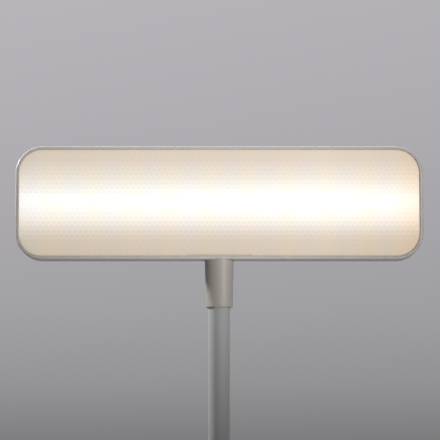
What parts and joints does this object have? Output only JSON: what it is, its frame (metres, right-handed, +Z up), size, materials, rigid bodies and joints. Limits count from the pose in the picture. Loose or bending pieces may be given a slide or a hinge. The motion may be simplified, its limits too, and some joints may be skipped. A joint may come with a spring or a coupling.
{
  "type": "clip-on reading lamp",
  "caption": "Reading lamp with a wide flat light panel on a flexible sleeved neck that rises from a sprung clip, which also serves as a stand.",
  "frame": {"origin": "centre of the overall bounding box's underside, on the surface the clip stands on", "axes": "+Z up along the straight neck; the panel shines towards -Y; +X to the right for someone who faces the panel"},
  "size_m": [0.2084, 0.108, 0.4526],
  "materials": {
    "casing_plastic": "satin warm grey, lightly textured",
    "collar_metal": "satin warm grey enamel",
    "prism_sheet": "clear sheet with fine moulded prisms",
    "reflector_white": "glossy white",
    "strip_white": "white solder mask",
    "cool_source": "phosphor, cool white",
    "warm_source": "phosphor, warm white",
    "plate_aluminium": "mill finish",
    "steel": "bright zinc plated",
    "core_steel": "turned, oiled",
    "spring_steel": "hard drawn",
    "sleeve_silicone": "satin grey silicone",
    "pad_silicone": "matt dark grey silicone",
    "lead_insulation": "black insulation",
    "board_green": "green solder mask",
    "cell_film": "silver laminate film",
    "key_plastic": "satin pale grey",
    "light_pipe": "clear moulding",
    "socket_steel": "nickel plated"
  },
  "bodies": {
    "base": {"base_cover": "casing_plastic", "base_chassis": "casing_plastic", "upper_pad": "pad_silicone", "cover_screws": "steel", "control_board": "board_green", "board_screws": "steel", "battery": "cell_film", "dome_switches": "steel", "charge_light": "light_pipe", "charging_port": "socket_steel", "base_collar": "collar_metal", "neck_washer": "steel", "neck_nut": "steel", "core_lower_end": "core_steel", "hinge_pin": "steel", "pin_clip": "steel", "torsion_spring": "spring_steel", "neck_sleeve": "sleeve_silicone", "neck_wire": "lead_insulation"},
    "jaw": {"lower_jaw": "casing_plastic", "lower_pad": "pad_silicone", "jaw_cover": "casing_plastic", "jaw_screws": "steel", "foot_pad": "pad_silicone"},
    "power_key": {"power_button": "key_plastic"},
    "tone_key": {"tone_button": "key_plastic"},
    "link_01": {"core_link_01": "core_steel"},
    "link_02": {"core_link_02": "core_steel"},
    "link_03": {"core_link_03": "core_steel"},
    "link_04": {"core_link_04": "core_steel"},
    "link_05": {"core_link_05": "core_steel"},
    "link_06": {"core_link_06": "core_steel"},
    "link_07": {"core_link_07": "core_steel"},
    "link_08": {"core_link_08": "core_steel"},
    "link_09": {"core_link_09": "core_steel"},
    "link_10": {"core_link_10": "core_steel"},
    "link_11": {"core_link_11": "core_steel"},
    "link_12": {"core_link_12": "core_steel"},
    "link_13": {"core_link_13": "core_steel"},
    "link_14": {"core_link_14": "core_steel"},
    "link_15": {"core_link_15": "core_steel"},
    "link_16": {"core_link_16": "core_steel"},
    "link_17": {"core_link_17": "core_steel"},
    "head": {"core_upper_end": "core_steel", "neck_collar": "collar_metal", "collar_clip": "steel", "collar_grub_screw": "steel", "head_bezel": "casing_plastic", "diffuser": "prism_sheet", "head_back_shell": "casing_plastic", "reflector_tray": "reflector_white", "heat_spreader": "plate_aluminium", "led_board": "strip_white", "leds_cool": "cool_source", "leds_warm": "warm_source", "head_screws": "steel", "head_leads": "lead_insulation"}
  },
  "joints": [
    {"name": "clip_jaw", "type": "hinge", "parent": "base", "child": "jaw", "pos_m": [0, 0.014, 0.016], "axis": [1, 0, 0], "range_deg": [0, 36], "stiffness_Nm_per_rad": 0.9, "springref_deg": -34.38, "deforming": ["torsion_spring"]},
    {"name": "power_press", "type": "slide", "parent": "base", "child": "power_key", "axis": [0, 0, -1], "range_m": [0, 0.0006], "stiffness_N_per_m": 1500, "springref_m": -0.0004},
    {"name": "tone_press", "type": "slide", "parent": "base", "child": "tone_key", "axis": [0, 0, -1], "range_m": [0, 0.0006], "stiffness_N_per_m": 1500, "springref_m": -0.0004},
    {"name": "neck_lower_bend", "type": "hinge", "parent": "base", "child": "link_01", "pos_m": [0, 0.01, 0.07433], "axis": [1, 0, 0], "range_deg": [-12, 12], "deforming": ["neck_sleeve", "neck_wire"]},
    {"name": "neck_lower_lean", "type": "hinge", "parent": "link_01", "child": "link_02", "pos_m": [0, 0.01, 0.091], "axis": [0, 1, 0], "range_deg": [-12, 12]},
    {"name": "neck_lower_bend_2", "type": "hinge", "parent": "link_02", "child": "link_03", "pos_m": [0, 0.01, 0.10767], "axis": [1, 0, 0], "range_deg": [-12, 12]},
    {"name": "neck_lower_bend_3", "type": "hinge", "parent": "link_03", "child": "link_04", "pos_m": [0, 0.01, 0.12433], "axis": [1, 0, 0], "range_deg": [-12, 12]},
    {"name": "neck_lower_lean_2", "type": "hinge", "parent": "link_04", "child": "link_05", "pos_m": [0, 0.01, 0.141], "axis": [0, 1, 0], "range_deg": [-12, 12]},
    {"name": "neck_lower_bend_4", "type": "hinge", "parent": "link_05", "child": "link_06", "pos_m": [0, 0.01, 0.15767], "axis": [1, 0, 0], "range_deg": [-12, 12]},
    {"name": "neck_lower_bend_5", "type": "hinge", "parent": "link_06", "child": "link_07", "pos_m": [0, 0.01, 0.17433], "axis": [1, 0, 0], "range_deg": [-12, 12]},
    {"name": "neck_lower_lean_3", "type": "hinge", "parent": "link_07", "child": "link_08", "pos_m": [0, 0.01, 0.191], "axis": [0, 1, 0], "range_deg": [-12, 12]},
    {"name": "neck_lower_bend_6", "type": "hinge", "parent": "link_08", "child": "link_09", "pos_m": [0, 0.01, 0.20767], "axis": [1, 0, 0], "range_deg": [-12, 12]},
    {"name": "neck_upper_bend", "type": "hinge", "parent": "link_09", "child": "link_10", "pos_m": [0, 0.01, 0.22433], "axis": [1, 0, 0], "range_deg": [-12, 12]},
    {"name": "neck_upper_lean", "type": "hinge", "parent": "link_10", "child": "link_11", "pos_m": [0, 0.01, 0.241], "axis": [0, 1, 0], "range_deg": [-12, 12]},
    {"name": "neck_upper_bend_2", "type": "hinge", "parent": "link_11", "child": "link_12", "pos_m": [0, 0.01, 0.25767], "axis": [1, 0, 0], "range_deg": [-12, 12]},
    {"name": "neck_upper_bend_3", "type": "hinge", "parent": "link_12", "child": "link_13", "pos_m": [0, 0.01, 0.27433], "axis": [1, 0, 0], "range_deg": [-12, 12]},
    {"name": "neck_upper_lean_2", "type": "hinge", "parent": "link_13", "child": "link_14", "pos_m": [0, 0.01, 0.291], "axis": [0, 1, 0], "range_deg": [-12, 12]},
    {"name": "neck_upper_bend_4", "type": "hinge", "parent": "link_14", "child": "link_15", "pos_m": [0, 0.01, 0.30767], "axis": [1, 0, 0], "range_deg": [-12, 12]},
    {"name": "neck_upper_bend_5", "type": "hinge", "parent": "link_15", "child": "link_16", "pos_m": [0, 0.01, 0.32433], "axis": [1, 0, 0], "range_deg": [-12, 12]},
    {"name": "neck_upper_lean_3", "type": "hinge", "parent": "link_16", "child": "link_17", "pos_m": [0, 0.01, 0.341], "axis": [0, 1, 0], "range_deg": [-12, 12]},
    {"name": "neck_upper_bend_6", "type": "hinge", "parent": "link_17", "child": "head", "pos_m": [0, 0.01, 0.35767], "axis": [1, 0, 0], "range_deg": [-12, 12]}
  ],
  "couplings": [
    {"joint": "neck_lower_bend_2", "follows": "neck_lower_bend", "ratio": 1},
    {"joint": "neck_lower_bend_3", "follows": "neck_lower_bend", "ratio": 1},
    {"joint": "neck_lower_lean_2", "follows": "neck_lower_lean", "ratio": 1},
    {"joint": "neck_lower_bend_4", "follows": "neck_lower_bend", "ratio": 1},
    {"joint": "neck_lower_bend_5", "follows": "neck_lower_bend", "ratio": 1},
    {"joint": "neck_lower_lean_3", "follows": "neck_lower_lean", "ratio": 1},
    {"joint": "neck_lower_bend_6", "follows": "neck_lower_bend", "ratio": 1},
    {"joint": "neck_upper_bend_2", "follows": "neck_upper_bend", "ratio": 1},
    {"joint": "neck_upper_bend_3", "follows": "neck_upper_bend", "ratio": 1},
    {"joint": "neck_upper_lean_2", "follows": "neck_upper_lean", "ratio": 1},
    {"joint": "neck_upper_bend_4", "follows": "neck_upper_bend", "ratio": 1},
    {"joint": "neck_upper_bend_5", "follows": "neck_upper_bend", "ratio": 1},
    {"joint": "neck_upper_lean_3", "follows": "neck_upper_lean", "ratio": 1},
    {"joint": "neck_upper_bend_6", "follows": "neck_upper_bend", "ratio": 1}
  ]
}
